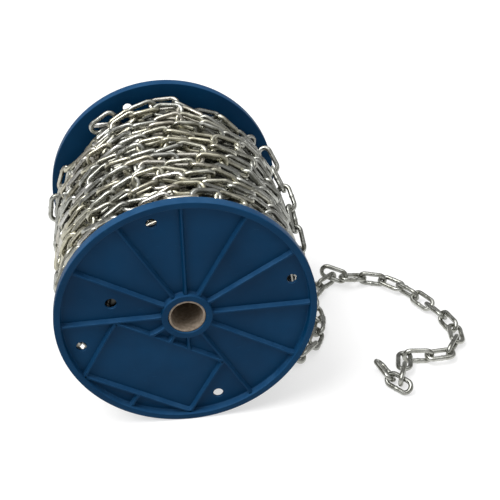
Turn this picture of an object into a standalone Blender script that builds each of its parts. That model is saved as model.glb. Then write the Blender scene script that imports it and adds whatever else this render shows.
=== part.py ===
"""Reel of zinc-plated steel link chain: a moulded plastic reel on a cardboard tube, the wound chain
and the loose end that hangs off the winding and lies on the floor.

Metres, +Z up. The reel's axis runs along Y and the reel stands on its two flange rims. The origin is
the bottom centre of the whole object's box, so the floor is z = 0.
"""

import itertools
import math

import bmesh
import bpy
import numpy as np
from mathutils import Matrix, Vector

# Reel
REEL_RADIUS = 0.0975
REEL_WIDTH = 0.2091
FLANGE_DEPTH = 0.0085
WEB_THICKNESS = 0.0025
RIM_WALL = 0.0052
HUB_RADIUS = 0.019
HUB_BORE_RADIUS = 0.0141
FLANGE_FACETS = 60
BACK_FLANGE_TURN = math.radians(36)

# Ribs on the outer face of a flange; angles run from +X towards +Z as seen from outside
RIB_THICKNESS = 0.0023
RIB_HEIGHT = 0.0042
RIB_OVERLAP = 0.0015
RIB_COUNT = 12
RIB_START = math.radians(1)
PANEL_DIRECTION = math.radians(-119)
PANEL_INNER = 0.0273
PANEL_OUTER = 0.0805
PANEL_HALF_WIDTH = 0.0450
PANEL_RIB_HEIGHT = 0.0040
SHORT_RIBS = (7, 8, 9)

# Holes through the web
TIE_HOLE_RADIUS = 0.0039
TIE_HOLE_PLACE = 0.0819
TIE_HOLE_START = math.radians(16)
ANCHOR_HOLE_RADIUS = 0.0043
ANCHOR_HOLE_PLACE = 0.0566
ANCHOR_HOLE_ANGLE = math.radians(166)
HOLE_SIDES = 12

# Cardboard tube through both hubs
TUBE_RADIUS = 0.0138
TUBE_WALL = 0.0016
TUBE_RECESS = 0.0012
TUBE_SIDES = 30

# Wound chain, one turned solid for all its layers
GAP = 0.0003
WINDING_RADIUS = 0.0863
WINDING_END_RADIUS = 0.0765
WINDING_SHOULDER = 0.0080
WINDING_BORE = TUBE_RADIUS + GAP
TURNS = 14
TURN_RELIEF = 0.0022
WINDING_FACETS = 40

# Chain link: 4 mm wire, 19 mm inside length, 14 mm outside width
WIRE = 0.0040
INSIDE_LENGTH = 0.0190
OUTSIDE_WIDTH = 0.0140
WIRE_SIDES = 8
END_STEPS = 6
ARC_SAMPLES = 24
SIDE_SAMPLES = 20
UPRIGHT_LIMIT = 0.2
LINK_GAP = 0.0003
HOOK_STEP = 0.0001
HOOK_STEPS = 8
HOOK_SHARES = (0.5, 0.2, 0.8, 0.0, 1.0)
HOOK_TWISTS = (0, 5, -5, 10, -10)

# Loose end of the chain, in runs. Each row is the place where two links hook into each other, in
# millimetres from the reel's middle (x, y) and above the floor (z), and the roll in degrees, from
# lying flat, of the link that runs from there to the next place. The last row ends its run. The first
# run hangs off the winding, lands and doubles up; the others hook into the side of a link before them.
LOOSE_END = (
    (
        (84, 74, 137, 40),
        (91, 63, 124, -50),
        (97, 51, 113, 40),
        (101, 38, 102, -50),
        (103, 25, 90, 40),
        (105, 12, 77, -50),
        (105, 0, 63, 45),
        (104, -11, 48, -45),
        (102, -20, 32, 50),
        (97, -33, 17, -35),
        (96, -49, 7, -45),
        (108, -36, 7, 43),
        (117, -20, 7, -45),
        (122, -3, 7, 30),
        (123, 15, 7, -70),
        (123, 33, 7, 8),
        (130, 48, 7, 90),
        (146, 62, 7, 0),
    ),
    (
        (140, 66, 14, 75),
        (157, 58, 10, -8),
        (176, 60, 7, -88),
        (194, 52, 7, 8),
        (207, 38, 7, -68),
        (217, 21, 7, 34),
        (225, 4, 7, -40),
        (232, -14, 7, 64),
        (236, -32, 7, -12),
        (232, -50, 7, 88),
        (219, -63, 7, 0),
        (202, -63, 7, -88),
        (184, -60, 7, 5),
        (178, -77, 8, 88),
        (171, -93, 9, 0),
    ),
    (
        (175, -100, 6, -45),
        (164, -85, 6, 30),
        (159, -67, 8, 0),
    ),
)

# One slack link that stands out of the winding on the left
SLACK_LINK_ANGLE = math.radians(172)
SLACK_LINK_ALONG = 0.048

SHARP_ANGLE = math.radians(40)
PLASTIC_BLUE = (0.006, 0.045, 0.110, 1.0)
CARD_BROWN = (0.300, 0.200, 0.115, 1.0)
ZINC = (0.560, 0.545, 0.510, 1.0)


def clear_scene():
    """Remove every object, so that the script can be run again."""
    for old in list(bpy.data.objects):
        bpy.data.objects.remove(old, do_unlink=True)


def make_material(name, color, roughness, metallic):
    """A Principled material with one colour."""
    material = bpy.data.materials.new(name)
    material.use_nodes = True
    shader = material.node_tree.nodes["Principled BSDF"]
    shader.inputs["Base Color"].default_value = color
    shader.inputs["Roughness"].default_value = roughness
    shader.inputs["Metallic"].default_value = metallic
    return material


def add_object(name, mesh, material=None):
    """Link a new object that holds the mesh."""
    obj = bpy.data.objects.new(name, mesh)
    bpy.context.scene.collection.objects.link(obj)
    if material is not None and not mesh.materials:
        mesh.materials.append(material)
    return obj


def mesh_from(bm, name):
    """Turn a bmesh into a mesh with outward faces, smooth except at sharp edges."""
    bmesh.ops.recalc_face_normals(bm, faces=bm.faces)
    mesh = bpy.data.meshes.new(name)
    bm.to_mesh(mesh)
    bm.free()
    mesh.shade_smooth()
    mesh.set_sharp_from_angle(angle=SHARP_ANGLE)
    return mesh


def turned_mesh(name, profile, facets, phase=0.0):
    """Turn a closed outline of (radius, y) points about the Y axis."""
    bm = bmesh.new()
    start = Matrix.Rotation(phase, 4, "Y")
    points = [bm.verts.new(start @ Vector((radius, y, 0.0))) for radius, y in profile]
    edges = [bm.edges.new((a, b)) for a, b in zip(points, points[1:] + points[:1])]
    bmesh.ops.spin(
        bm,
        geom=points + edges,
        cent=(0, 0, 0),
        axis=(0, 1, 0),
        angle=math.tau,
        steps=facets,
        use_merge=True,
    )
    bmesh.ops.remove_doubles(bm, verts=bm.verts, dist=1e-6)
    return mesh_from(bm, name)


def cutter_object(name, mesh):
    """A tool solid for a Boolean, never part of the model."""
    tool = add_object(name, mesh)
    tool.hide_render = True
    tool.display_type = "WIRE"
    return tool


def apply_boolean(target, tool, operation):
    """Add or cut the tool, keep the result in the target's mesh and drop the tool."""
    modifier = target.modifiers.new("shape", "BOOLEAN")
    modifier.operation = operation
    modifier.solver = "EXACT"
    modifier.object = tool
    graph = bpy.context.evaluated_depsgraph_get()
    result = bpy.data.meshes.new_from_object(target.evaluated_get(graph))
    target.modifiers.clear()
    target.data = result
    bpy.data.objects.remove(tool, do_unlink=True)


def bar_mesh(name, start, end, thickness, low_y, high_y):
    """A straight bar between two (x, z) points, standing from low_y to high_y."""
    bm = bmesh.new()
    bmesh.ops.create_cube(bm, size=1.0)
    run = Vector((end[0] - start[0], 0.0, end[1] - start[1]))
    size = Matrix.Diagonal((run.length, high_y - low_y, thickness, 1.0))
    turn = Matrix.Rotation(-math.atan2(run.z, run.x), 4, "Y")
    middle = Vector(((start[0] + end[0]) / 2, (low_y + high_y) / 2, (start[1] + end[1]) / 2))
    bm.transform(Matrix.Translation(middle) @ turn @ size)
    return mesh_from(bm, name)


def drill_mesh(name, radius, x, z):
    """A drill along Y, longer than the flange is deep."""
    bm = bmesh.new()
    bmesh.ops.create_cone(
        bm,
        cap_ends=True,
        segments=HOLE_SIDES,
        radius1=radius,
        radius2=radius,
        depth=4 * FLANGE_DEPTH,
    )
    bm.transform(Matrix.Translation((x, 0.0, z)) @ Matrix.Rotation(math.pi / 2, 4, "X"))
    return mesh_from(bm, name)


def polar(radius, angle):
    """The (x, z) point at a radius and an angle from +X towards +Z."""
    return radius * math.cos(angle), radius * math.sin(angle)


def rib_bars():
    """Ends and heights of every rib: whole ribs, ribs cut short by the panel, the panel's frame."""
    hub = HUB_RADIUS - RIB_OVERLAP
    rim = REEL_RADIUS - RIM_WALL + RIB_OVERLAP
    bars = []
    for index in range(RIB_COUNT):
        angle = RIB_START + index * math.tau / RIB_COUNT
        reach = rim
        if index in SHORT_RIBS:
            lean = math.cos(angle - PANEL_DIRECTION)
            reach = PANEL_INNER / lean
        bars.append((polar(hub, angle), polar(reach, angle), RIB_HEIGHT))
    out = Vector(polar(1.0, PANEL_DIRECTION))
    side = Vector((-out.y, out.x))
    corners = [
        out * along + side * across
        for along, across in (
            (PANEL_INNER, -PANEL_HALF_WIDTH),
            (PANEL_OUTER, -PANEL_HALF_WIDTH),
            (PANEL_OUTER, PANEL_HALF_WIDTH),
            (PANEL_INNER, PANEL_HALF_WIDTH),
        )
    ]
    for start, end in zip(corners, corners[1:] + corners[:1]):
        overrun = (end - start).normalized() * RIB_THICKNESS / 2
        bars.append((tuple(start - overrun), tuple(end + overrun), PANEL_RIB_HEIGHT))
    bars.append((tuple(out * PANEL_OUTER), tuple(out * rim), RIB_HEIGHT))
    return bars


def build_flange(name, material):
    """A flange with its smooth inner face at y = 0 and its ribbed face towards -Y."""
    web = -WEB_THICKNESS
    face = -FLANGE_DEPTH
    rim = REEL_RADIUS - RIM_WALL
    profile = (
        (HUB_BORE_RADIUS, 0.0),
        (REEL_RADIUS, 0.0),
        (REEL_RADIUS, face),
        (rim, face),
        (rim, web),
        (HUB_RADIUS, web),
        (HUB_RADIUS, face),
        (HUB_BORE_RADIUS, face),
    )
    half_facet = math.pi / FLANGE_FACETS
    flange = add_object(name, turned_mesh(name, profile, FLANGE_FACETS, half_facet), material)
    for start, end, height in rib_bars():
        bar = bar_mesh("rib", start, end, RIB_THICKNESS, web - height, web / 2)
        apply_boolean(flange, cutter_object("rib", bar), "UNION")
    holes = [(TIE_HOLE_RADIUS, TIE_HOLE_PLACE, TIE_HOLE_START + k * math.pi / 2) for k in range(4)]
    holes.append((ANCHOR_HOLE_RADIUS, ANCHOR_HOLE_PLACE, ANCHOR_HOLE_ANGLE))
    for radius, place, angle in holes:
        drill = drill_mesh("drill", radius, *polar(place, angle))
        apply_boolean(flange, cutter_object("drill", drill), "DIFFERENCE")
    return flange


def build_tube(material):
    """The cardboard tube, a little shorter than the reel."""
    half = REEL_WIDTH / 2 - TUBE_RECESS
    inner = TUBE_RADIUS - TUBE_WALL
    profile = ((inner, -half), (TUBE_RADIUS, -half), (TUBE_RADIUS, half), (inner, half))
    return add_object("core_tube", turned_mesh("core_tube", profile, TUBE_SIDES), material)


def build_winding(material):
    """All the wound chain as one turned solid: rounded shoulders, and a ridge for each turn."""
    half = REEL_WIDTH / 2 - FLANGE_DEPTH - GAP
    outline = []
    for index in range(2 * TURNS + 1):
        y = -half + 2 * half * index / (2 * TURNS)
        from_end = min(half - abs(y), WINDING_SHOULDER) / WINDING_SHOULDER
        rise = math.sqrt(1.0 - (1.0 - from_end) ** 2)
        radius = WINDING_END_RADIUS + (WINDING_RADIUS - WINDING_END_RADIUS) * rise
        valley = TURN_RELIEF if index % 2 == 0 and 0 < index < 2 * TURNS else 0.0
        outline.append((radius - valley, y))
    outline += [(WINDING_BORE, half), (WINDING_BORE, -half)]
    mesh = turned_mesh("wound_chain", outline, WINDING_FACETS)
    return add_object("wound_chain", mesh, material)


def link_mesh(name):
    """One link: a round wire carried round a long loop, long axis X, width along Y."""
    radius = (OUTSIDE_WIDTH - WIRE) / 2
    half_straight = (INSIDE_LENGTH + WIRE) / 2 - radius
    bm = bmesh.new()
    rings = []
    for end in (1.0, -1.0):
        for step in range(END_STEPS + 1):
            facing = 0.0 if end > 0 else math.pi
            angle = facing + math.pi * (step / END_STEPS - 0.5)
            centre = Vector((end * half_straight, 0.0, 0.0))
            out = Vector((math.cos(angle), math.sin(angle), 0.0))
            ring = []
            for side in range(WIRE_SIDES):
                turn = math.tau * side / WIRE_SIDES
                reach = radius + WIRE / 2 * math.cos(turn)
                lift = WIRE / 2 * math.sin(turn)
                ring.append(bm.verts.new(centre + out * reach + Vector((0.0, 0.0, lift))))
            rings.append(ring)
    for ring, after in zip(rings, rings[1:] + rings[:1]):
        for side in range(WIRE_SIDES):
            other = (side + 1) % WIRE_SIDES
            bm.faces.new((ring[side], ring[other], after[other], after[side]))
    return mesh_from(bm, name)


def link_frame(along, roll):
    """Axes of a link that points along a direction, rolled about it from lying flat."""
    flat = Vector((0.0, 0.0, 1.0)).cross(along)
    flat = flat.normalized() if flat.length > UPRIGHT_LIMIT else Vector((0.0, 1.0, 0.0))
    rise = along.cross(flat)
    width = (flat * math.cos(roll) + rise * math.sin(roll)).normalized()
    return along, width, along.cross(width)


def place_link(name, mesh, centre, axes):
    """Put a link at a centre, turned to its axes."""
    obj = add_object(name, mesh)
    obj.matrix_world = Matrix.Translation(centre) @ Matrix(axes).transposed().to_4x4()
    return obj


def centreline(start, axes):
    """Points along the middle of a link's wire, for a link whose back end is at the start point."""
    along, width, _ = (np.array(axis) for axis in axes)
    radius = (OUTSIDE_WIDTH - WIRE) / 2
    length = INSIDE_LENGTH + WIRE
    turn = np.linspace(-math.pi / 2, math.pi / 2, ARC_SAMPLES)[:, None]
    side = np.linspace(radius, length - radius, SIDE_SAMPLES)[:, None]
    arc_along = radius - radius * np.cos(turn)
    arc_across = radius * np.sin(turn)
    flat_points = (
        along * arc_along + width * arc_across,
        along * (length - arc_along) + width * arc_across,
        along * side + width * radius,
        along * side - width * radius,
    )
    return np.array(start) + np.concatenate(flat_points)


def wire_distance(one, other):
    """The least distance between the centrelines of two links."""
    return np.linalg.norm(one[:, None, :] - other[None, :, :], axis=2).min()


def hook(tip, before, aim, roll):
    """Start and axes of the link that hooks into the one before: near its roll, its wire just clear."""
    wire_before = centreline(tip - before[0] * (INSIDE_LENGTH + WIRE), before)
    onward = (aim - tip).normalized()
    for twist, step, share in itertools.product(HOOK_TWISTS, range(HOOK_STEPS), HOOK_SHARES):
        pull = (onward * share + before[0] * (1.0 - share)).normalized()
        start = tip - pull * (WIRE + LINK_GAP + step * HOOK_STEP)
        axes = link_frame((aim - start).normalized(), roll + math.radians(twist))
        start.z += max(0.0, WIRE / 2 - centreline(start, axes)[:, 2].min())
        if wire_distance(wire_before, centreline(start, axes)) >= WIRE + LINK_GAP:
            return start, axes
    raise ValueError("no room to hook in the next link")


def build_run(mesh, rows, first_number):
    """Walk from place to place and hook each link into the one before."""
    spots = [Vector(row[:3]) / 1000 for row in rows]
    links = []
    for index, target in enumerate(spots[1:]):
        onward = (target - spots[index]).normalized()
        roll = math.radians(rows[index][3])
        if links:
            start, axes = hook(tip, axes, target + onward * WIRE / 2, roll)
        else:
            start, axes = spots[0] - onward * WIRE / 2, link_frame(onward, roll)
        tip = start + axes[0] * (INSIDE_LENGTH + WIRE)
        number = first_number + index
        links.append(place_link(f"loose_link_{number:02d}", mesh, (start + tip) / 2, axes))
    return links


def build_loose_end(mesh):
    """Every run of links, numbered through."""
    links = []
    for rows in LOOSE_END:
        links += build_run(mesh, rows, len(links) + 1)
    return links


def build_slack_link(mesh, reel_height):
    """A link standing on its edge on the winding's left side."""
    out = Vector((math.cos(SLACK_LINK_ANGLE), 0.0, math.sin(SLACK_LINK_ANGLE)))
    round_axis = Vector((out.z, 0.0, -out.x))
    reach = WINDING_RADIUS + OUTSIDE_WIDTH / 2 + GAP
    centre = out * reach + Vector((0.0, SLACK_LINK_ALONG, reel_height))
    axes = (round_axis, out, round_axis.cross(out))
    return place_link("slack_link", mesh, centre, axes)


def set_origin(objects):
    """Move everything so that the origin is the bottom centre of the whole box."""
    bpy.context.view_layer.update()
    points = [obj.matrix_world @ vertex.co for obj in objects for vertex in obj.data.vertices]
    low = Vector([min(p[k] for p in points) for k in range(3)])
    high = Vector([max(p[k] for p in points) for k in range(3)])
    shift = Vector((-(low.x + high.x) / 2, -(low.y + high.y) / 2, -low.z))
    for obj in objects:
        obj.matrix_world = Matrix.Translation(shift) @ obj.matrix_world


def main():
    """Build every piece."""
    clear_scene()
    plastic = make_material("reel_plastic", PLASTIC_BLUE, 0.42, 0.0)
    card = make_material("tube_card", CARD_BROWN, 0.85, 0.0)
    steel = make_material("chain_zinc", ZINC, 0.32, 1.0)
    height = REEL_RADIUS * math.cos(math.pi / FLANGE_FACETS)
    inner_face = REEL_WIDTH / 2 - FLANGE_DEPTH

    front = build_flange("flange_front", plastic)
    front.matrix_world = Matrix.Translation((0.0, -inner_face, height))
    back = build_flange("flange_back", plastic)
    about_face = Matrix.Rotation(math.pi, 4, "Z")
    turn = Matrix.Rotation(-BACK_FLANGE_TURN, 4, "Y")
    back.matrix_world = Matrix.Translation((0.0, inner_face, height)) @ turn @ about_face
    tube = build_tube(card)
    winding = build_winding(steel)
    for obj in (tube, winding):
        obj.matrix_world = Matrix.Translation((0.0, 0.0, height))

    link = link_mesh("chain_link")
    link.materials.append(steel)
    links = build_loose_end(link)
    links.append(build_slack_link(link, height))
    set_origin([front, back, tube, winding, *links])


main()
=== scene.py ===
"""Looks of a chain reel: moulded plastic reel, card tube, wound link chain and its loose end.

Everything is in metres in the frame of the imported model. The reel's axis runs along Y, the front
flange is towards -Y, the loose chain lies towards +X and the floor is z = 0. Every new piece is a
surface worked out with numpy and put into a mesh in one go.
"""

from __future__ import annotations

import logging
import math
from dataclasses import dataclass, field
from enum import Enum

import bpy
import numpy as np
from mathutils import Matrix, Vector

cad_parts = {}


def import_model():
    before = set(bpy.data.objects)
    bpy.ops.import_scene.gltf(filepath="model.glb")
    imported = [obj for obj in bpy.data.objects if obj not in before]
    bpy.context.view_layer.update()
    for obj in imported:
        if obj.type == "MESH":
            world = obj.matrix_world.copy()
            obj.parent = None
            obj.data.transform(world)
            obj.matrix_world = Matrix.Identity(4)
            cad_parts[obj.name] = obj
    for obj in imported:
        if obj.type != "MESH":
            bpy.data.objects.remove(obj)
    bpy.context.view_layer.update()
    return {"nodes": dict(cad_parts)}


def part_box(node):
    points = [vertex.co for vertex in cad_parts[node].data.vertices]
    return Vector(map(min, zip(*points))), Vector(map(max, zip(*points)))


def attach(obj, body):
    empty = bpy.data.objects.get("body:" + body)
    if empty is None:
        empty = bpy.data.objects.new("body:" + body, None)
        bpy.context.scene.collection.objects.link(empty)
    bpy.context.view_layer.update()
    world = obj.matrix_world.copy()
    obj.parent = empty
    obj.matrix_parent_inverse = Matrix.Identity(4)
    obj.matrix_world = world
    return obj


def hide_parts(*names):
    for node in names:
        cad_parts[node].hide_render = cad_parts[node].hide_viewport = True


LOG = logging.getLogger("chain_reel")
MM = 0.001

Color = tuple[float, float, float]
Socket = bpy.types.NodeSocket


class Side(Enum):
    """Which end of the reel a flange closes."""

    FRONT = "front"
    BACK = "back"


def grid_faces(rows: int, columns: int, close_rows: bool, close_columns: bool) -> np.ndarray:
    """Quads between neighbouring points of a grid that is stored row after row.

    Args:
        rows: Number of rows.
        columns: Number of points in each row.
        close_rows: True joins the last row to the first.
        close_columns: True joins the last column to the first.

    Returns:
        Whole array of quads, one row of four point numbers each.
    """
    row = np.arange(rows if close_rows else rows - 1)
    column = np.arange(columns if close_columns else columns - 1)
    i, j = (axis.ravel() for axis in np.meshgrid(row, column, indexing="ij"))
    after_i, after_j = (i + 1) % rows, (j + 1) % columns
    corners = (i * columns + j, i * columns + after_j, after_i * columns + after_j)
    return np.stack([*corners, after_i * columns + j], axis=1)


def signed_volume(points: np.ndarray, triangles: np.ndarray) -> float:
    """Volume inside the triangles, positive where they face outwards: a sum of signed tetrahedra."""
    a, b, c = (points[triangles[:, k]] for k in range(3))
    return float(np.einsum("ij,ij->i", a, np.cross(b, c)).sum() / 6.0)


@dataclass
class Shell:
    """Points and quads of a surface, with the polygons that close its ends.

    Attributes:
        points: Array of places, one row each.
        quads: Array of four point numbers a row.
        caps: Polygons with more corners than four.
        tints: One number for each point, which the finish reads as a colour shift.
    """

    points: np.ndarray
    quads: np.ndarray
    caps: list[list[int]] = field(default_factory=list)
    tints: np.ndarray | None = None

    def outward(self) -> Shell:
        """The same shell with its quads turned to face outwards."""
        triangles = [self.quads[:, [0, 1, 2]], self.quads[:, [0, 2, 3]]]
        for cap in self.caps:
            fan = np.array(cap)
            triangles.append(np.stack([np.full(len(fan) - 2, fan[0]), fan[1:-1], fan[2:]], axis=1))
        if signed_volume(self.points, np.concatenate(triangles)) >= 0.0:
            return self
        flipped = [cap[::-1] for cap in self.caps]
        return Shell(self.points, self.quads[:, ::-1], flipped, self.tints)

    def joined(self, others: list[Shell]) -> Shell:
        """This shell and the others as one."""
        shells = [self, *others]
        starts = np.cumsum([0] + [len(shell.points) for shell in shells[:-1]])
        quads = [shell.quads + start for shell, start in zip(shells, starts)]
        caps = [[n + int(start) for n in cap] for shell, start in zip(shells, starts) for cap in shell.caps]
        tints = [np.zeros(len(s.points)) if s.tints is None else s.tints for s in shells]
        points = np.concatenate([shell.points for shell in shells])
        return Shell(points, np.concatenate(quads), caps, np.concatenate(tints))

    def piece(self, name: str, material: bpy.types.Material, sharp: float = 50.0) -> bpy.types.Object:
        """Put the shell into a new object at the origin.

        Args:
            name: The piece's name.
            material: Its finish.
            sharp: Edges that bend more than this many degrees stay sharp.

        Returns:
            The new object, linked to the scene.
        """
        mesh = bpy.data.meshes.new(name)
        mesh.from_pydata(self.points, [], self.quads.tolist() + self.caps)
        if self.tints is not None:
            tint = mesh.attributes.new("tint", "FLOAT", "POINT")
            tint.data.foreach_set("value", self.tints.astype(np.float32))
        mesh.materials.append(material)
        mesh.shade_smooth()
        mesh.set_sharp_from_angle(angle=math.radians(sharp))
        mesh.validate()
        obj = bpy.data.objects.new(name, mesh)
        bpy.context.scene.collection.objects.link(obj)
        return obj


def rounded_outline(corners: list[tuple[float, float]], radii: list[float], steps: int = 5) -> np.ndarray:
    """A closed outline whose corners are rounded.

    Each corner P becomes a curve from P + a to P + b, where a and b lie on its two edges at the
    corner's radius, by the formula (1-t)^2 (P+a) + 2 t (1-t) P + t^2 (P+b).

    Args:
        corners: Corner places in order.
        radii: How far from each corner its rounding starts.
        steps: Parts of each rounding.

    Returns:
        Array of places round the outline.
    """
    ring = np.array(corners, float)
    before, after = np.roll(ring, 1, axis=0), np.roll(ring, -1, axis=0)
    reach = np.array(radii)[:, None]
    start = ring + (before - ring) / np.linalg.norm(before - ring, axis=1, keepdims=True) * reach
    end = ring + (after - ring) / np.linalg.norm(after - ring, axis=1, keepdims=True) * reach
    t = np.linspace(0.0, 1.0, steps + 1)[None, :, None]
    curve = (1 - t) ** 2 * start[:, None] + 2 * t * (1 - t) * ring[:, None] + t**2 * end[:, None]
    return curve.reshape(-1, 2)


def turned(outline: np.ndarray, facets: int) -> Shell:
    """Turn a closed outline of (radius, y) about the Y axis: (r cos a, y, r sin a) for each angle a."""
    angle = np.linspace(0.0, math.tau, facets, endpoint=False)[:, None]
    radius, along = outline[None, :, 0], outline[None, :, 1]
    points = np.stack([radius * np.cos(angle), along + 0 * angle, radius * np.sin(angle)], axis=-1)
    return Shell(points.reshape(-1, 3), grid_faces(facets, len(outline), True, True)).outward()


@dataclass(frozen=True)
class LinkShape:
    """One chain link of round wire: long axis X, width along Y, middle at the origin.

    Attributes:
        wire: Wire diameter.
        inside_length: Free length inside the link.
        outside_width: Width over both sides.
        arc_steps: Parts of each round end.
        side_steps: Parts of each straight side.
        wire_sides: Points round the wire.
        weld: How far the butt weld in the middle of one side stands out.
        weld_length: Half length of that weld.
    """

    wire: float = 4.0 * MM
    inside_length: float = 19.0 * MM
    outside_width: float = 14.0 * MM
    arc_steps: int = 6
    side_steps: int = 1
    wire_sides: int = 8
    weld: float = 0.0
    weld_length: float = 0.9 * MM

    def middle_line(self) -> tuple[np.ndarray, np.ndarray]:
        """Points along the middle of the wire, and the directions that point out of the loop.

        The line is (h + a cos t, a sin t) at one end, with a the radius of the bend and h half the
        straight side, and its mirror image at the other end, joined by the two sides.
        """
        bend = (self.outside_width - self.wire) / 2
        half = (self.inside_length + self.wire) / 2 - bend
        turn = np.linspace(-math.pi / 2, math.pi / 2, self.arc_steps + 1)
        out = np.stack([np.cos(turn), np.sin(turn)], axis=1)
        run = np.linspace(half, -half, self.side_steps + 1)[1:-1]
        side = np.stack([run, np.full_like(run, bend)], axis=1)
        up = np.tile([0.0, 1.0], (len(run), 1))
        middle = np.concatenate([out * bend + (half, 0.0), side, -out * bend - (half, 0.0), -side])
        return middle, np.concatenate([out, up, -out, -up])

    def shell(self) -> Shell:
        """The wire carried along its middle line: c + n r cos p + z r sin p, with r more at the weld."""
        middle, normal = self.middle_line()
        swell = np.exp(-((middle[:, 0] / self.weld_length) ** 2)) * (middle[:, 1] < 0.0)
        radius = (self.wire / 2 + self.weld * swell)[:, None]
        phase = np.linspace(0.0, math.tau, self.wire_sides, endpoint=False)[None, :]
        flat = middle[:, None, :] + normal[:, None, :] * (radius * np.cos(phase))[:, :, None]
        lift = radius * np.sin(phase)
        points = np.concatenate([flat, lift[:, :, None]], axis=2).reshape(-1, 3)
        return Shell(points, grid_faces(len(middle), self.wire_sides, True, True)).outward()

    def copies(self, centres: np.ndarray, axes: np.ndarray, tints: np.ndarray) -> Shell:
        """Many links in one shell: each point is the link's centre + x A + y W + z N.

        Args:
            centres: Middle of each link.
            axes: For each link its long axis A, width axis W and normal N as rows.
            tints: One number for each link.

        Returns:
            All the links as one shell.
        """
        shape = self.shell()
        points = centres[:, None, :] + np.einsum("pk,nkd->npd", shape.points, axes)
        starts = np.arange(len(centres)) * len(shape.points)
        quads = (shape.quads[None] + starts[:, None, None]).reshape(-1, 4)
        return Shell(points.reshape(-1, 3), quads, [], np.repeat(tints, len(shape.points)))


OUTLINE = LinkShape(arc_steps=5, side_steps=3)  # coarse ring that stands for a link where links touch


class NodeKit:
    """A material under construction, with its Principled shader."""

    def __init__(self, name: str) -> None:
        """Start a material with the given name."""
        self.material = bpy.data.materials.new(name)
        self.material.use_nodes = True
        self.tree = self.material.node_tree
        self.shader = self.tree.nodes["Principled BSDF"]
        self.place = self.node("ShaderNodeTexCoord").outputs["Object"]

    def node(self, kind: str, **inputs: float | Color) -> bpy.types.Node:
        """Add a node and set its inputs.

        Args:
            kind: Blender's name of the node's type.
            inputs: Values by input name, with underscores for spaces.

        Returns:
            The new node.
        """
        node = self.tree.nodes.new(kind)
        for name, value in inputs.items():
            node.inputs[name.replace("_", " ")].default_value = value
        return node

    def link(self, source: Socket, target: Socket) -> None:
        """Join an output to an input."""
        self.tree.links.new(source, target)

    def set(self, **values: float | Color) -> None:
        """Set the shader's own inputs, with underscores for spaces."""
        for name, value in values.items():
            self.shader.inputs[name.replace("_", " ")].default_value = value

    def noise(self, scale: float, detail: float = 3.0, stretch: Color = (1.0, 1.0, 1.0)) -> Socket:
        """Noise on the object's own coordinates.

        Args:
            scale: Waves per metre.
            detail: Finer octaves.
            stretch: Factor on each axis before the noise.

        Returns:
            The noise's value.
        """
        mapping = self.node("ShaderNodeMapping", Scale=stretch)
        self.link(self.place, mapping.inputs["Vector"])
        noise = self.node("ShaderNodeTexNoise", Scale=scale, Detail=detail)
        self.link(mapping.outputs["Vector"], noise.inputs["Vector"])
        return noise.outputs["Fac"]

    def ramp(self, source: Socket, stops: list[tuple[float, Color]]) -> Socket:
        """Colours along a value.

        Args:
            source: The value.
            stops: Position and colour of each stop.

        Returns:
            The colour.
        """
        ramp = self.node("ShaderNodeValToRGB")
        elements = ramp.color_ramp.elements
        while len(elements) < len(stops):
            elements.new(0.5)
        for element, (position, color) in zip(elements, stops):
            element.position = position
            element.color = (*color, 1.0)
        self.link(source, ramp.inputs["Fac"])
        return ramp.outputs["Color"]

    def spread(self, source: Socket, low: float, high: float) -> Socket:
        """Map a noise's middle range to the range from low to high."""
        node = self.node("ShaderNodeMapRange", From_Min=0.3, From_Max=0.7, To_Min=low, To_Max=high)
        self.link(source, node.inputs["Value"])
        return node.outputs["Result"]

    def mix(self, factor: Socket, one: Socket, other: Socket, blend: str = "MIX") -> Socket:
        """Blend two colours.

        Args:
            factor: How much of the second colour is used.
            one: The first colour.
            other: The second colour.
            blend: Blender's name of the way to blend.

        Returns:
            The blended colour.
        """
        node = self.node("ShaderNodeMix")
        node.data_type = "RGBA"
        node.blend_type = blend
        factor_at, one_at, other_at, result_at = 0, 6, 7, 2
        for source, at in ((factor, factor_at), (one, one_at), (other, other_at)):
            self.link(source, node.inputs[at])
        return node.outputs[result_at]

    def bump(self, height: Socket, distance: float, before: bpy.types.Node | None = None) -> bpy.types.Node:
        """Raise the surface.

        Args:
            height: Pattern of the height.
            distance: Its full height in metres.
            before: An earlier bump that this one lies on.

        Returns:
            The bump's node.
        """
        node = self.node("ShaderNodeBump", Strength=1.0, Distance=distance)
        self.link(height, node.inputs["Height"])
        if before is not None:
            self.link(before.outputs["Normal"], node.inputs["Normal"])
        self.link(node.outputs["Normal"], self.shader.inputs["Normal"])
        return node


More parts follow.
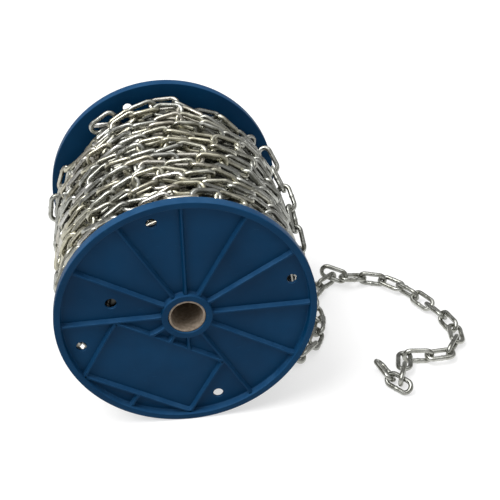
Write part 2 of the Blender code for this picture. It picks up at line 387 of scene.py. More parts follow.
@dataclass(frozen=True)
class MouldedPlastic:
    """Dark blue moulded plastic, satin, a little cloudy and scuffed, with a painted highlight on its
    up-facing ledges.
    """

    deep: Color = (0.0004, 0.0240, 0.0660)
    cloudy: Color = (0.0010, 0.0340, 0.0910)
    scuff: Color = (0.0120, 0.0700, 0.1500)
    ledge_highlight_low: Color = (0.0100, 0.0560, 0.1400)
    ledge_highlight_high: Color = (0.0200, 0.0780, 0.1750)

    def material(self) -> bpy.types.Material:
        """Build the finish: cloudy colour, fine grain, thin scuffs and a painted highlight on up-facing
        ledges.
        """
        kit = NodeKit("reel_plastic_look")
        body = kit.ramp(kit.noise(22.0, 4.0), [(0.35, self.deep), (0.70, self.cloudy)])
        streaks = kit.noise(140.0, 6.0, (1.0, 1.0, 5.0))
        scratch = kit.ramp(streaks, [(0.66, (0.0, 0.0, 0.0)), (0.80, (0.5, 0.5, 0.5))])
        scuff = kit.node("ShaderNodeRGB")
        scuff.outputs[0].default_value = (*self.scuff, 1.0)
        ledge_highlight = kit.node("ShaderNodeAttribute")
        ledge_highlight.attribute_name = "ledge_highlight"
        # Painted highlight: faces that look up get paler blues, as if lit from above.
        pale = kit.ramp(kit.noise(70.0, 5.0), [(0.35, self.ledge_highlight_low), (0.70, self.ledge_highlight_high)])
        marked = kit.mix(scratch, body, scuff.outputs[0])
        kit.link(kit.mix(ledge_highlight.outputs["Fac"], marked, pale), kit.shader.inputs["Base Color"])
        kit.link(kit.spread(kit.noise(60.0), 0.42, 0.58), kit.shader.inputs["Roughness"])
        soft = kit.bump(kit.noise(35.0, 2.0), 0.25 * MM)
        kit.bump(kit.noise(1400.0, 2.0), 0.03 * MM, soft)
        kit.set(IOR=1.49, Specular_IOR_Level=0.08)
        return kit.material


@dataclass(frozen=True)
class ZincPlate:
    """Bright zinc plating on steel wire, its tint a little different from link to link.

    Attributes:
        name: The material's name.
        light: Factor on the colours, below 1 for copies that paint shade on the chain's deeper layers and on
            the drum.
        plates: Colours of the plating along the tint, from dull grey over yellow and pink to bright.
    """

    name: str = "chain_zinc_look"
    light: float = 1.0
    plates: tuple[tuple[float, Color], ...] = (
        (0.0, (0.350, 0.355, 0.330)),
        (0.3, (0.480, 0.485, 0.445)),
        (0.6, (0.520, 0.500, 0.390)),
        (0.8, (0.500, 0.475, 0.415)),
        (1.0, (0.620, 0.625, 0.605)),
    )

    def material(self) -> bpy.types.Material:
        """Build the finish from each link's tint, mottling and fine drawing marks."""
        kit = NodeKit(self.name)
        tint = kit.node("ShaderNodeAttribute")
        tint.attribute_name = "tint"
        stops = [(at, tuple(self.light * channel for channel in color)) for at, color in self.plates]
        plate = kit.ramp(tint.outputs["Fac"], stops)
        shade = kit.ramp(kit.noise(160.0, 5.0), [(0.30, (0.55, 0.54, 0.50)), (0.55, (1.0, 1.0, 1.0))])
        all_of_it = kit.node("ShaderNodeValue")
        all_of_it.outputs[0].default_value = 1.0
        kit.link(kit.mix(all_of_it.outputs[0], plate, shade, "MULTIPLY"), kit.shader.inputs["Base Color"])
        kit.link(kit.spread(kit.noise(260.0, 4.0), 0.20, 0.40), kit.shader.inputs["Roughness"])
        wavy = kit.bump(kit.noise(300.0, 2.0), 0.10 * MM)
        kit.bump(kit.noise(1800.0, 2.0), 0.02 * MM, wavy)
        kit.set(Metallic=1.0)
        return kit.material


@dataclass(frozen=True)
class WoundCard:
    """Brown card wound in a spiral, its colour mottled between brown and pale."""

    brown: Color = (0.180, 0.137, 0.100)
    pale: Color = (0.330, 0.275, 0.215)

    def material(self) -> bpy.types.Material:
        """Build the finish: fibres, blotches and fine fuzz."""
        kit = NodeKit("tube_card_look")
        fibre = kit.noise(420.0, 5.0)
        kit.link(kit.ramp(fibre, [(0.30, self.brown), (0.75, self.pale)]), kit.shader.inputs["Base Color"])
        kit.set(Roughness=0.88)
        kit.bump(kit.noise(900.0, 3.0), 0.08 * MM)
        return kit.material


@dataclass
class Flange:
    """One moulded end of the reel, built with its smooth inner face at y = 0 and its ribs towards -Y.

    Angles run from +X towards +Z as seen from outside. A hole is its radius, its place's radius and
    its angle.
    """

    side: Side
    centre: np.ndarray
    half_width: float = 96.05 * MM
    radius: float = 97.36 * MM
    depth: float = 8.5 * MM
    web: float = 2.5 * MM
    rim_wall: float = 5.2 * MM
    hub_radius: float = 19.0 * MM
    bore_radius: float = 14.1 * MM
    back_turn: float = math.radians(36)
    rib_width: float = 2.3 * MM
    rib_height: float = 4.2 * MM
    rib_start: float = math.radians(1)
    rib_count: int = 12
    short_ribs: tuple[int, ...] = (7, 8, 9)
    panel_direction: float = math.radians(-119)
    panel_inner: float = 27.3 * MM
    panel_outer: float = 80.5 * MM
    panel_half_width: float = 45.0 * MM
    panel_rib_height: float = 4.0 * MM
    overlap: float = 1.5 * MM
    tie_hole: tuple[float, float, float] = (3.9 * MM, 81.9 * MM, math.radians(16))
    anchor_hole: tuple[float, float, float] = (4.3 * MM, 56.6 * MM, math.radians(166))
    facets: int = 240
    sharp: float = 35.0
    rib_sharp: float = 60.0

    def body(self) -> Shell:
        """Web, rim and hub ring as one turned solid with rounded edges."""
        web, face = -self.web, -self.depth
        rim = self.radius - self.rim_wall
        corners = [
            (self.bore_radius, 0.0),
            (self.radius, 0.0),
            (self.radius, face),
            (rim, face),
            (rim, web),
            (self.hub_radius, web),
            (self.hub_radius, face),
            (self.bore_radius, face),
        ]
        radii = [0.5 * MM, 0.9 * MM, 1.1 * MM, 1.1 * MM, 1.4 * MM, 1.4 * MM, 0.9 * MM, 0.7 * MM]
        return turned(rounded_outline(corners, radii), self.facets)

    def bar(self, start: np.ndarray, end: np.ndarray, height: float) -> Shell:
        """A soft bar on the web between two (x, z) points.

        At a distance s from its middle it is height * S((w - |s|) / slope) high, with
        S(q) = 3 q^2 - 2 q^3 between 0 and 1. Its half width w grows by exp(-d / flare) at both
        ends, d being the distance to the end.

        Args:
            start: Where it starts.
            end: Where it ends.
            height: How far it stands out of the web.

        Returns:
            A closed shell whose foot lies inside the web.
        """
        slope, flare, sink = 1.1 * MM, 2.5 * MM, 0.6 * MM
        foot, flare_width = 0.45 * MM, 1.1 * MM
        run = end - start
        length = float(np.linalg.norm(run))
        along = run / length
        across = np.array([-along[1], along[0]])
        at = np.linspace(0.0, length, 26)[:, None]
        to_end = np.minimum(at, length - at)
        half = self.rib_width / 2 + foot + flare_width * np.exp(-to_end / flare)
        share = np.linspace(-1.0, 1.0, 19)[None, :]
        s = half * share
        q = np.clip((half - np.abs(s)) / slope, 0.0, 1.0)
        rise = height * q * q * (3.0 - 2.0 * q)
        lift = np.concatenate([-self.web - rise, np.full((len(at), 2), -self.web + sink)], axis=1)
        s = np.concatenate([s, half, -half], axis=1)
        flat = start + at[:, :, None] * along + s[:, :, None] * across
        points = np.stack([flat[..., 0], lift, flat[..., 1]], axis=-1)
        rows, columns = lift.shape
        quads = grid_faces(rows, columns, False, True)
        first = list(range(columns))
        last = [(rows - 1) * columns + n for n in first]
        shell = Shell(points.reshape(-1, 3), quads, [first[::-1], last])
        return shell.outward()

    def polar(self, radius: float, angle: float) -> np.ndarray:
        """The (x, z) point at a radius and an angle."""
        return radius * np.array([math.cos(angle), math.sin(angle)])

    def bars(self) -> list[Shell]:
        """Every rib, the label panel's frame and the small rib below it."""
        hub = self.hub_radius - self.overlap
        rim = self.radius - self.rim_wall + self.overlap
        shells = []
        for index in range(self.rib_count):
            angle = self.rib_start + index * math.tau / self.rib_count
            short = self.panel_inner / math.cos(angle - self.panel_direction)
            reach = short if index in self.short_ribs else rim
            shells.append(self.bar(self.polar(hub, angle), self.polar(reach, angle), self.rib_height))
        out = self.polar(1.0, self.panel_direction)
        side = np.array([-out[1], out[0]])
        spots = ((self.panel_inner, -1), (self.panel_outer, -1), (self.panel_outer, 1), (self.panel_inner, 1))
        corners = [out * along + side * across * self.panel_half_width for along, across in spots]
        for start, end in zip(corners, corners[1:] + corners[:1]):
            shells.append(self.bar(start, end, self.panel_rib_height))
        shells.append(self.bar(out * self.panel_outer, out * rim, self.rib_height))
        return shells

    def drill(self, radius: float, place: float, angle: float) -> Shell:
        """A drill with flared ends, which leaves soft edges.

        Args:
            radius: The hole's radius.
            place: Distance of the hole from the middle.
            angle: Its angle.

        Returns:
            The drill as a closed shell that is longer than the web is thick.
        """
        soft, past = 0.35 * MM, 1.0 * MM
        levels = np.array([-self.web - past, -self.web, -self.web + soft, -soft, 0.0, past])
        widths = radius + np.array([past + soft, soft, 0.0, 0.0, soft, past + soft])
        turn = np.linspace(0.0, math.tau, 32, endpoint=False)[None, :]
        x, z = self.polar(place, angle)
        wide = widths[:, None]
        grid = (x + wide * np.cos(turn), levels[:, None] + 0 * turn, z + wide * np.sin(turn))
        points = np.stack(grid, axis=-1)
        first = list(range(turn.size))
        last = [(len(levels) - 1) * turn.size + n for n in first]
        quads = grid_faces(len(levels), turn.size, False, True)
        return Shell(points.reshape(-1, 3), quads, [first[::-1], last]).outward()

    def placed(self, shell: Shell) -> Shell:
        """The shell moved to this flange's end of the reel."""
        points = shell.points
        if self.side is Side.BACK:
            points = points * (-1.0, -1.0, 1.0)
            c, s = math.cos(self.back_turn), math.sin(self.back_turn)
            x, z = points[:, 0] * c - points[:, 2] * s, points[:, 0] * s + points[:, 2] * c
            points = np.stack([x, points[:, 1], z], axis=1)
        offset = self.half_width if self.side is Side.BACK else -self.half_width
        return Shell(points + self.centre + (0.0, offset, 0.0), shell.quads, shell.caps, shell.tints)

    def build(self, finish: bpy.types.Material) -> list[bpy.types.Object]:
        """Make the drilled body and its ribs as two pieces that stand for the flange's node."""
        body = self.placed(self.body()).piece(f"flange_{self.side.value}_moulding", finish, self.sharp)
        holes = [(*self.tie_hole[:2], self.tie_hole[2] + k * math.pi / 2) for k in range(4)]
        for radius, place, angle in [*holes, self.anchor_hole]:
            cutter = self.placed(self.drill(radius, place, angle)).piece("drill", finish)
            cut(body, cutter)
        body.data.set_sharp_from_angle(angle=math.radians(self.sharp))
        first, *rest = self.bars()
        ribs = self.placed(first.joined(rest)).piece(f"flange_{self.side.value}_ribs", finish, self.rib_sharp)
        for piece in (body, ribs):
            mark_ledge_highlight(piece)
            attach(piece, "root")
            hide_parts(f"flange_{self.side.value}")
        return [body, ribs]


def cut(target: bpy.types.Object, cutter: bpy.types.Object) -> None:
    """Take the cutter out of the target's mesh, keep the result and drop the cutter."""
    modifier = target.modifiers.new("cut", "BOOLEAN")
    modifier.operation = "DIFFERENCE"
    modifier.solver = "EXACT"
    modifier.object = cutter
    graph = bpy.context.evaluated_depsgraph_get()
    result = bpy.data.meshes.new_from_object(target.evaluated_get(graph))
    target.modifiers.clear()
    target.data = result
    bpy.data.objects.remove(cutter, do_unlink=True)


def mark_ledge_highlight(piece: bpy.types.Object) -> None:
    """Store on each face how far it looks up, the mask of the plastic's painted highlight: its normal's
    height from 0.25 to 0.75 gives 0 to 1.
    """
    mesh = piece.data
    normals = np.empty(3 * len(mesh.polygons), np.float32)
    mesh.polygons.foreach_get("normal", normals)
    level = np.clip(2.0 * normals.reshape(-1, 3)[:, 2] - 0.5, 0.0, 1.0)
    mesh.attributes.new("ledge_highlight", "FLOAT", "FACE").data.foreach_set("value", level)


@dataclass
class CardTube:
    """The card tube that joins both hubs."""

    centre: np.ndarray
    radius: float = 13.8 * MM
    wall: float = 1.6 * MM
    half_length: float = 103.35 * MM
    facets: int = 96

    def build(self, finish: bpy.types.Material) -> bpy.types.Object:
        """Turn the tube with slightly crushed edges."""
        inner = self.radius - self.wall
        half = self.half_length
        corners = [(inner, -half), (self.radius, -half), (self.radius, half), (inner, half)]
        outline = rounded_outline(corners, [0.4 * MM] * 4, 3)
        shell = turned(outline, self.facets)
        shell.points = shell.points + self.centre
        piece = shell.piece("card_tube", finish, 60.0)
        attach(piece, "root")
        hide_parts("core_tube")
        return piece


@dataclass
class Strand:
    """A run of chain: the places where its links hook together, and each link's roll.

    Attributes:
        joints: Array of places, one row each.
        rolls: Roll of each link in radians, from lying flat on the winding.
        breaks: Numbers of the links that join one layer to the next, which are left out.
    """

    joints: np.ndarray
    rolls: np.ndarray
    breaks: np.ndarray

    def axes(self) -> tuple[np.ndarray, np.ndarray]:
        """Middles of the links, and for each its long axis, width axis and normal as rows."""
        step = np.diff(self.joints, axis=0)
        middle = (self.joints[:-1] + self.joints[1:]) / 2
        along = step / np.linalg.norm(step, axis=1, keepdims=True)
        outward = middle * (1.0, 0.0, 1.0)
        outward -= along * np.sum(outward * along, axis=1, keepdims=True)
        outward /= np.linalg.norm(outward, axis=1, keepdims=True)
        aside = np.cross(along, outward)
        roll = self.rolls[:, None]
        width = aside * np.cos(roll) + outward * np.sin(roll)
        return middle, np.stack([along, width, np.cross(along, width)], axis=1)

    def wires(self, ring: np.ndarray) -> tuple[np.ndarray, np.ndarray, np.ndarray]:
        """Points along every link's wire, with the links' middles and axes."""
        middle, axes = self.axes()
        along, aside = ring[None, :, :1] * axes[:, None, 0], ring[None, :, 1:] * axes[:, None, 1]
        return middle[:, None] + along + aside, middle, axes


@dataclass
class WoundChain:
    """The wound chain: layers of turns that run round the reel, over a dark drum.

    Attributes:
        centre: Middle of the reel.
        half_width: Half the room between the flanges.
        margin: How far the middle of the first and last turn lies from a flange.
        turns: Turns in a layer.
        layers: Layers of links that are modelled.
        spacing: Distance between the places where links hook together.
        half_envelope: Half the thickness of the chain as it lies.
        layer_step: How much deeper each layer starts.
        layer_turn: Angle in radians between the starts of two layers.
        sway: How far the turns wave sideways.
        side_drift: Links over which the random shift sideways is smooth, and its size.
        height_drift: The same for the shift in and out.
        roll_drift: The same for the roll, in degrees.
        roll_scatter: Random roll from link to link, in degrees.
        drum_radius: Radius of the dark drum under the layers.
        drum_bore: Radius of the hole through the drum.
        surface: Angles in degrees from +X towards +Z, and the radius of the outermost wire there in
            millimetres, first over most of the width and then close to the back flange.
        clearance: Least distance between the middle lines of two wires.
        reach: Links whose middles are further apart than this can't touch.
        rounds: Rounds of settling.
        refresh: Rounds after which the pairs of near links are found anew.
        pull: How far the chain's pull moves it inwards in a round.
        slack_rounds: Last rounds, which go without the pull.
        push_gain: How much more than the missing distance a joint moves.
        roll_limit: Most that a link rolls in a round, in radians.
        roll_arm: Added to a link's lever where its roll is worked out.
        proud: Angle, place along the axis and height over the surface of a link that stands up.
        painted_shade_right: How far the tints are lowered on the side towards +X, which paints shade on that
            side.
        seed: Start of the random draws.
    """

    centre: np.ndarray
    half_width: float = 95.75 * MM
    margin: float = 6.6 * MM
    turns: int = 14
    layers: int = 3
    spacing: float = 19.1 * MM
    half_envelope: float = 6.0 * MM
    layer_step: float = 8.0 * MM
    layer_turn: float = 1.7
    sway: float = 1.5 * MM
    side_drift: tuple[int, float] = (7, 1.4 * MM)
    height_drift: tuple[int, float] = (5, 0.8 * MM)
    roll_drift: tuple[int, float] = (5, 26.0)
    roll_scatter: float = 8.0
    drum_radius: float = 58.0 * MM
    drum_bore: float = 15.0 * MM
    surface: tuple[tuple[float, float, float], ...] = (
        (0, 97.0, 93.0),
        (28, 94.5, 90.5),
        (57, 91.0, 90.0),
        (80, 89.5, 89.5),
        (117, 88.5, 88.5),
        (141, 90.0, 88.5),
        (154, 93.0, 90.5),
        (171, 96.5, 93.5),
        (190, 97.5, 95.5),
        (230, 92.0, 92.0),
        (270, 89.0, 89.0),
        (315, 90.0, 89.0),
        (340, 95.5, 91.0),
    )
    clearance: float = 4.0 * MM
    reach: float = 27.0 * MM
    rounds: int = 30
    refresh: int = 6
    pull: float = 0.06 * MM
    slack_rounds: int = 6
    push_gain: float = 1.4
    roll_limit: float = 0.15
    roll_arm: float = 3.0 * MM
    proud: tuple[float, float, float] = (125.5, 87.0 * MM, -3.5 * MM)
    painted_shade_right: float = 0.8
    seed: int = 11

    def radius_at(self, angle: np.ndarray, along: np.ndarray) -> np.ndarray:
        """Radius of the winding's surface at an angle and a place along the reel's axis.

        It is straight between the stated angles, and goes from the first radius to the second by
        3 q^2 - 2 q^3, with q from 0 to 1 over the third of the width that is next to the back flange.
        """
        degrees, main, last = np.array(self.surface, float).T
        q = np.clip(1.5 * (along / self.half_width) - 0.5, 0.0, 1.0)
        share = q * q * (3.0 - 2.0 * q)
        turn = np.degrees(angle)
        one, other = (np.interp(turn, degrees, radii, period=360.0) for radii in (main, last))
        return (one * (1.0 - share) + other * share) * MM

    def drift(self, rng: np.random.Generator, count: int, reach: int, size: float) -> np.ndarray:
        """Random numbers averaged over their neighbours, so that they change slowly.

        Args:
            rng: Source of the numbers.
            count: How many.
            reach: Neighbours in each average.
            size: Their standard deviation after the averaging.

        Returns:
            Array of the numbers.
        """
        raw = rng.standard_normal(count + reach - 1)
        window = np.hanning(reach + 2)[1:-1]
        return np.convolve(raw, window, "valid") / math.sqrt(float((window**2).sum())) * size

    def wound(self, depth: float, phase: float, rng: np.random.Generator) -> np.ndarray:
        """Places where the links of a layer hook together before they settle.

        The middle line is a helix: radius R(a) - depth at the angle a, with y going from one
        flange to the other as a grows. Slow random shifts move it sideways and in and out.

        Args:
            depth: How far the middle line lies below the surface.
            phase: Angle at which the layer starts.
            rng: Source of the random shifts.

        Returns:
            Array of places, one row each.
        """
        angles = [phase]
        limit = self.half_width - self.margin
        whole = self.turns * math.tau
        while angles[-1] < phase + whole:
            level = np.array(limit * (2.0 * (angles[-1] - phase) / whole - 1.0))
            radius = float(self.radius_at(np.array(angles[-1]), level)) - depth
            angles.append(angles[-1] + 2.0 * math.asin(self.spacing / 2 / radius))
        angle = np.array(angles)
        count = len(angle)
        share = (angle - phase) / whole
        sway = self.sway * np.sin(2.0 * angle + 5.0 * share) + self.drift(rng, count, *self.side_drift)
        along = np.clip(limit * (2.0 * share - 1.0) + sway, -limit, limit)
        radius = self.radius_at(angle, along) - depth + self.drift(rng, count, *self.height_drift)
        return np.stack([radius * np.cos(angle), along, radius * np.sin(angle)], axis=1)

    def strand(self, rng: np.random.Generator) -> Strand:
        """All layers as one strand, its links rolled a quarter turn against each other."""
        runs = [
            self.wound(self.half_envelope + layer * self.layer_step, 0.4 + self.layer_turn * layer, rng)
            for layer in range(self.layers)
        ]
        joints = np.concatenate(runs)
        count = len(joints) - 1
        quarter_turns = np.where(np.arange(count) % 2 == 0, 45.0, -45.0)
        roll = quarter_turns + self.drift(rng, count, *self.roll_drift)
        roll += rng.normal(0.0, self.roll_scatter, count)
        breaks = np.cumsum([len(run) for run in runs])[:-1] - 1
        return Strand(joints, np.radians(roll), breaks)

    def near_pairs(self, middle: np.ndarray, hooked: np.ndarray, posts: np.ndarray) -> np.ndarray:
        """Links near enough to touch that aren't neighbours in the strand.

        Args:
            middle: Middles of the strand's links.
            hooked: False for the links that are left out.
            posts: Middles of the links that don't move, numbered after the strand's own.

        Returns:
            Two rows: the numbers of the first and of the second link of each pair.
        """
        gap = np.linalg.norm(middle[:, None] - middle[None], axis=2)
        near = (gap < self.reach) & hooked[:, None] & hooked[None]
        one, other = np.nonzero(np.triu(near, 2))
        to_post = np.linalg.norm(middle[:, None] - posts[None], axis=2)
        beside, post = np.nonzero((to_post < self.reach) & hooked[:, None])
        return np.array([np.append(one, beside), np.append(other, len(middle) + post)])

    def settle(self, strand: Strand, fixed: np.ndarray) -> None:
        """Push links that run into each other apart, as they do when they are wound on.

        Each link is a ring of points along its wire. Where the nearest points of two links are
        closer than the clearance, both links move and roll apart by half of what is missing.
        After each round the joints are pulled back to their spacing, inwards by the chain's pull,
        and into the room between the flanges, the drum and the surface.

        Args:
            strand: The chain, which is changed in place.
            fixed: Points along links that don't move, one link a row.
        """
        ring, _ = OUTLINE.middle_line()
        posts = fixed.mean(axis=1)
        count = len(strand.rolls)
        hooked = np.ones(count, bool)
        hooked[strand.breaks] = False
        share = ring[:, 0] / self.spacing + 0.5
        tiny, touching = 1e-9, 0.4 * MM
        one = other = np.arange(0)
        for step in range(self.rounds):
            points, middle, axes = strand.wires(ring)
            if step % self.refresh == 0:
                one, other = self.near_pairs(middle, hooked, posts)
            every = np.concatenate([points, fixed])
            a, b = points[one] - middle[one][:, None], every[other] - middle[one][:, None]
            squares = np.sum(a * a, axis=2)[:, :, None] + np.sum(b * b, axis=2)[:, None]
            squares = squares - 2.0 * a @ b.transpose(0, 2, 1)
            u, v = np.divmod(squares.reshape(len(one), -1).argmin(axis=1), len(ring))
            rows = np.arange(len(one))
            apart = a[rows, u] - b[rows, v]
            distance = np.linalg.norm(apart, axis=1) + tiny
            missing = np.maximum(0.0, self.clearance - distance)
            push = apart / distance[:, None] * (missing / 2)[:, None]
            moves, weights = np.zeros_like(strand.joints), np.full(count + 1, tiny)
            turns = np.zeros(count)
            for link, spot, shift in ((one, u, push), (other, v, -push)):
                hit = (missing > 0.0) & (link < count)
                link, spot, shift = link[hit], spot[hit], shift[hit]
                for joint, part in ((link, 1.0 - share[spot]), (link + 1, share[spot])):
                    part = np.clip(part, 0.1, 1.0)
                    np.add.at(moves, joint, shift * part[:, None])
                    np.add.at(weights, joint, part)
                lever = np.cross(axes[link, 0], points[link, spot] - middle[link])
                arm = np.sum(lever * lever, axis=1) + self.roll_arm**2
                np.add.at(turns, link, 0.5 * np.sum(lever * shift, axis=1) / arm)
            strand.joints += self.push_gain * moves / np.maximum(weights, 1.0)[:, None]
            strand.rolls += np.clip(turns, -self.roll_limit, self.roll_limit)
            self.hold(strand, hooked, ring, self.pull if step < self.rounds - self.slack_rounds else 0.0)
        LOG.info("wound chain: %d of %d near pairs still touch", int((missing > touching).sum()), len(one))

    def hold(self, strand: Strand, hooked: np.ndarray, ring: np.ndarray, pull: float) -> None:
        """Keep the strand's spacing and keep it in its room.

        Args:
            strand: The chain, which is changed in place.
            hooked: False for the links that are left out.
            ring: Points along a link's middle line.
            pull: How far the chain's pull moves it inwards.
        """
        joints = strand.joints
        passes, share = 4, 0.25
        for _ in range(passes):
            step = np.diff(joints, axis=0)
            length = np.linalg.norm(step, axis=1, keepdims=True)
            pull_in = step / length * (length - self.spacing) * share * hooked[:, None]
            joints[:-1] += pull_in
            joints[1:] -= pull_in
        points, middle, _ = strand.wires(ring)
        radius = np.hypot(points[..., 0], points[..., 2])
        wire = self.clearance / 2
        outer = self.radius_at(np.arctan2(points[..., 2], points[..., 0]), points[..., 1]) - wire
        over = np.maximum(0.0, (radius - outer).max(axis=1))
        under = np.maximum(0.0, (self.drum_radius + wire - radius).max(axis=1))
        wall = self.half_width - wire
        back, front = points[..., 1].max(axis=1), points[..., 1].min(axis=1)
        side = np.minimum(0.0, wall - back) - np.minimum(0.0, wall + front)
        out = middle * (1.0, 0.0, 1.0)
        out /= np.linalg.norm(out, axis=1, keepdims=True)
        shift = out * (under - over - pull)[:, None] + side[:, None] * np.array([0.0, 1.0, 0.0])
        joints[:-1] += shift / 2
        joints[1:] += shift / 2

    def drum(self) -> Shell:
        """A turned drum, almost black with painted shade, that closes the view below the layers."""
        half, bore, radius = self.half_width - 0.5 * MM, self.drum_bore, self.drum_radius
        corners = [(bore, -half), (radius, -half), (radius, half), (bore, half)]
        shell = turned(rounded_outline(corners, [0.3 * MM, 4.0 * MM, 4.0 * MM, 0.3 * MM]), 96)
        shell.points = shell.points + self.centre
        return shell

    def proud_link(self) -> tuple[np.ndarray, np.ndarray]:
        """Middle and axes of the link that stands on its edge near the back flange."""
        angle, along = math.radians(self.proud[0]), self.proud[1]
        out = np.array([math.cos(angle), 0.0, math.sin(angle)])
        onward = np.array([-out[2], 0.0, out[0]])
        level = self.radius_at(np.array(angle), np.array(along)) + self.proud[2]
        return out * level + (0.0, along, 0.0), np.stack([onward, out, np.cross(onward, out)])

    def build(
        self, finishes: tuple[bpy.types.Material, bpy.types.Material, bpy.types.Material], hanging: np.ndarray
    ) -> list[bpy.types.Object]:
        """Make the layers and the drum, which all stand for the winding's node.

        Args:
            finishes: Finish of the outer links, of the links below them, darkened with painted shade, and of
                the drum, darker still with painted shade.
            hanging: Points along the wires of the links that lie outside the winding.

        Returns:
            The pieces.
        """
        bright, painted_shade_zinc, dark = finishes
        rng = np.random.default_rng(self.seed)
        strand = self.strand(rng)
        ring, _ = OUTLINE.middle_line()
        place, turn = self.proud_link()
        fixed = np.concatenate([hanging - self.centre, (place + ring @ turn[:2])[None]])
        self.settle(strand, fixed)
        middle, axes = strand.axes()
        # Painted shade: tints are lower, so duller and darker, on the side towards +X.
        right = np.clip(middle[:, 0] / np.hypot(middle[:, 0], middle[:, 2]), 0.0, 1.0)
        tints = rng.random(len(middle)) * (1.0 - self.painted_shade_right * right)
        pieces = []
        edges = [-1, *strand.breaks, len(middle)]
        for layer, (start, end) in enumerate(zip(edges, edges[1:])):
            links = slice(start + 1, end)
            shape = LinkShape() if layer == 0 else LinkShape(arc_steps=5, wire_sides=7)
            shell = shape.copies(middle[links] + self.centre, axes[links], tints[links])
            # Layers below the outer one take the zinc with painted shade.
            pieces.append(shell.piece(f"wound_chain_layer_{layer + 1}", painted_shade_zinc if layer else bright))
        fine = LinkShape(arc_steps=12, wire_sides=12)
        shell = fine.copies((place + self.centre)[None], turn[None], rng.random(1))
        pieces.append(shell.piece("wound_chain_proud_link", bright))
        # The drum stands for the deepest chain and is darkened with painted shade.
        pieces.append(self.drum().piece("wound_chain_drum", dark))
        for piece in pieces:
            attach(piece, "root")
            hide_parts("wound_chain")
        return pieces


@dataclass
class LooseChain:
    """The links that hang off the winding and lie on the floor, each where its node is.

    Each link is held inside its node's box, which takes off what its weld would stick out of it.

    Attributes:
        nodes: All the nodes by name.
        shape: The link.
        tint_range: How far up the plating's colours the links go, from the dull end.
        seed: Start of the random draws.
    """

    nodes: dict[str, bpy.types.Object]
    shape: LinkShape = LinkShape(arc_steps=12, side_steps=10, wire_sides=12, weld=0.35 * MM)
    tint_range: float = 0.3
    seed: int = 5

    def pose_of(self, node: bpy.types.Object) -> tuple[np.ndarray, np.ndarray]:
        """Centre and axes of a link from the spread of its node's points.

        Args:
            node: The link's node.

        Returns:
            Its middle, and its long axis, width axis and normal as rows.
        """
        points = np.empty(len(node.data.vertices) * 3, np.float32)
        node.data.vertices.foreach_get("co", points)
        points = points.reshape(-1, 3).astype(float)
        mean = points.mean(axis=0)
        axes = np.linalg.svd(points - mean, full_matrices=False)[2]
        axes[2] = np.cross(axes[0], axes[1])
        spread = (points - mean) @ axes.T
        return mean + (spread.min(axis=0) + spread.max(axis=0)) / 2 @ axes, axes

    def names(self) -> list[str]:
        """Names of the nodes that are links."""
        return sorted(name for name in self.nodes if name.startswith(("loose_link", "slack_link")))

    def wires(self) -> np.ndarray:
        """Points along the middle line of every link's wire, one link a row."""
        ring, _ = OUTLINE.middle_line()
        poses = [self.pose_of(self.nodes[name]) for name in self.names()]
        return np.array([centre + ring @ axes[:2] for centre, axes in poses])

    def build(self, finish: bpy.types.Material) -> list[bpy.types.Object]:
        """Make one round-wire link for each node."""
        rng = np.random.default_rng(self.seed)
        pieces = []
        for name in self.names():
            centre, axes = self.pose_of(self.nodes[name])
            shell = self.shape.copies(centre[None], axes[None], self.tint_range * rng.random(1))
            shell.points = np.clip(shell.points, *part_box(name))
            piece = shell.piece(f"{name}_wire", finish, 80.0)
            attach(piece, "root")
            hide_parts(name)
            pieces.append(piece)
        return pieces


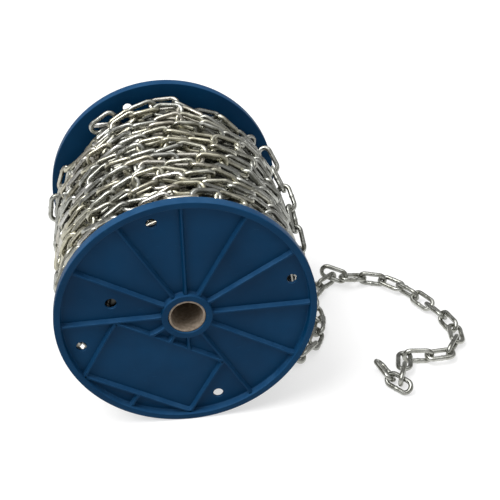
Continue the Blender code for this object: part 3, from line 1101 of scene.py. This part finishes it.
@dataclass
class Studio:
    """Pale floor, soft lights and the camera at the photograph's angle.

    Attributes:
        camera_place: Where the camera stands.
        camera_turn: Its rotation about X, Y and Z in degrees.
        lens: Its focal length in millimetres on a sensor 36 mm wide.
        floor_half: Half the width of the floor.
        floor_glow: Light that the floor gives off by itself.
        sky: Light that comes evenly from all round.
        lights: Name, direction, spread in degrees and strength of each light.
    """

    camera_place: tuple[float, float, float] = (-0.1252, -0.7876, 0.5900)
    camera_turn: tuple[float, float, float] = (57.60, 0.0, -8.42)
    lens: float = 82.44
    floor_half: float = 6.0
    floor_glow: float = 0.60
    sky: float = 0.30
    lights: tuple[tuple[str, Color, float, float], ...] = (
        ("key", (-1.0, -0.42, 1.6), 40.0, 2.7),
        ("top", (0.0, 0.1, 1.5), 60.0, 1.0),
        ("fill", (0.9, -1.0, 1.2), 60.0, 0.15),
    )

    def floor(self) -> bpy.types.Object:
        """A flat pale floor that glows a little, as a lit table does."""
        h = self.floor_half
        points = np.array([(-h, -h, 0.0), (h, -h, 0.0), (h, h, 0.0), (-h, h, 0.0)])
        kit = NodeKit("studio_floor")
        pale = kit.ramp(kit.noise(3.0), [(0.0, (0.45, 0.45, 0.45)), (1.0, (0.47, 0.47, 0.47))])
        kit.link(pale, kit.shader.inputs["Base Color"])
        kit.set(Roughness=0.9, Specular_IOR_Level=0.2, Emission_Strength=self.floor_glow)
        kit.set(Emission_Color=(1.0, 1.0, 1.0, 1.0))
        floor = Shell(points, np.array([[0, 1, 2, 3]])).piece("floor", kit.material)
        return floor

    def light(self, name: str, place: Color, spread: float, strength: float) -> None:
        """A broad far light.

        Args:
            name: The light's name.
            place: Where it stands, seen from the object.
            spread: How wide it looks from the object, in degrees.
            strength: Power on each square metre that faces it.
        """
        data = bpy.data.lights.new(name, "SUN")
        data.angle = math.radians(spread)
        data.energy = strength
        lamp = bpy.data.objects.new(name, data)
        lamp.location = place
        lamp.rotation_euler = (-Vector(place)).to_track_quat("-Z", "Y").to_euler()
        bpy.context.scene.collection.objects.link(lamp)

    def camera(self) -> None:
        """The camera, which sees the object as the photograph does."""
        data = bpy.data.cameras.new("camera")
        data.lens = self.lens
        data.sensor_width = 36.0
        camera = bpy.data.objects.new("camera", data)
        camera.location = self.camera_place
        camera.rotation_euler = [math.radians(a) for a in self.camera_turn]
        bpy.context.scene.collection.objects.link(camera)
        bpy.context.scene.camera = camera

    def build(self) -> None:
        """Set up floor, lights, sky and camera."""
        scene = bpy.context.scene
        scene.view_settings.view_transform = "Standard"
        world = bpy.data.worlds.new("studio")
        world.use_nodes = True
        sky = world.node_tree.nodes["Background"].inputs
        sky["Color"].default_value = (1.0, 1.0, 1.0, 1.0)
        sky["Strength"].default_value = self.sky
        scene.world = world
        for name, place, spread, strength in self.lights:
            self.light(name, place, spread, strength)
        self.floor()
        self.camera()


def main() -> None:
    """Build the reel, its chain and the studio."""
    logging.basicConfig(level=logging.INFO, format="%(message)s")
    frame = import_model()
    studio = Studio()
    studio.build()
    low, high = (np.array(corner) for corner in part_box("core_tube"))
    centre = (low + high) / 2
    plastic = MouldedPlastic().material()
    bright = ZincPlate().material()
    # Copies of the zinc with painted shade: darker for the layers below the outer one, almost black for the
    # drum.
    painted_shade_zinc = ZincPlate("chain_zinc_painted_shade_look", 0.70).material()
    dark = ZincPlate("chain_zinc_painted_shade_drum_look", 0.12).material()
    loose = LooseChain(frame["nodes"])
    pieces = [piece for side in Side for piece in Flange(side, centre).build(plastic)]
    pieces.append(CardTube(centre).build(WoundCard().material()))
    pieces += WoundChain(centre).build((bright, painted_shade_zinc, dark), loose.wires())
    pieces += loose.build(bright)
    for piece in pieces:
        LOG.info("%s: %d points", piece.name, len(piece.data.vertices))
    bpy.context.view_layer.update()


if __name__ == "__main__":
    main()
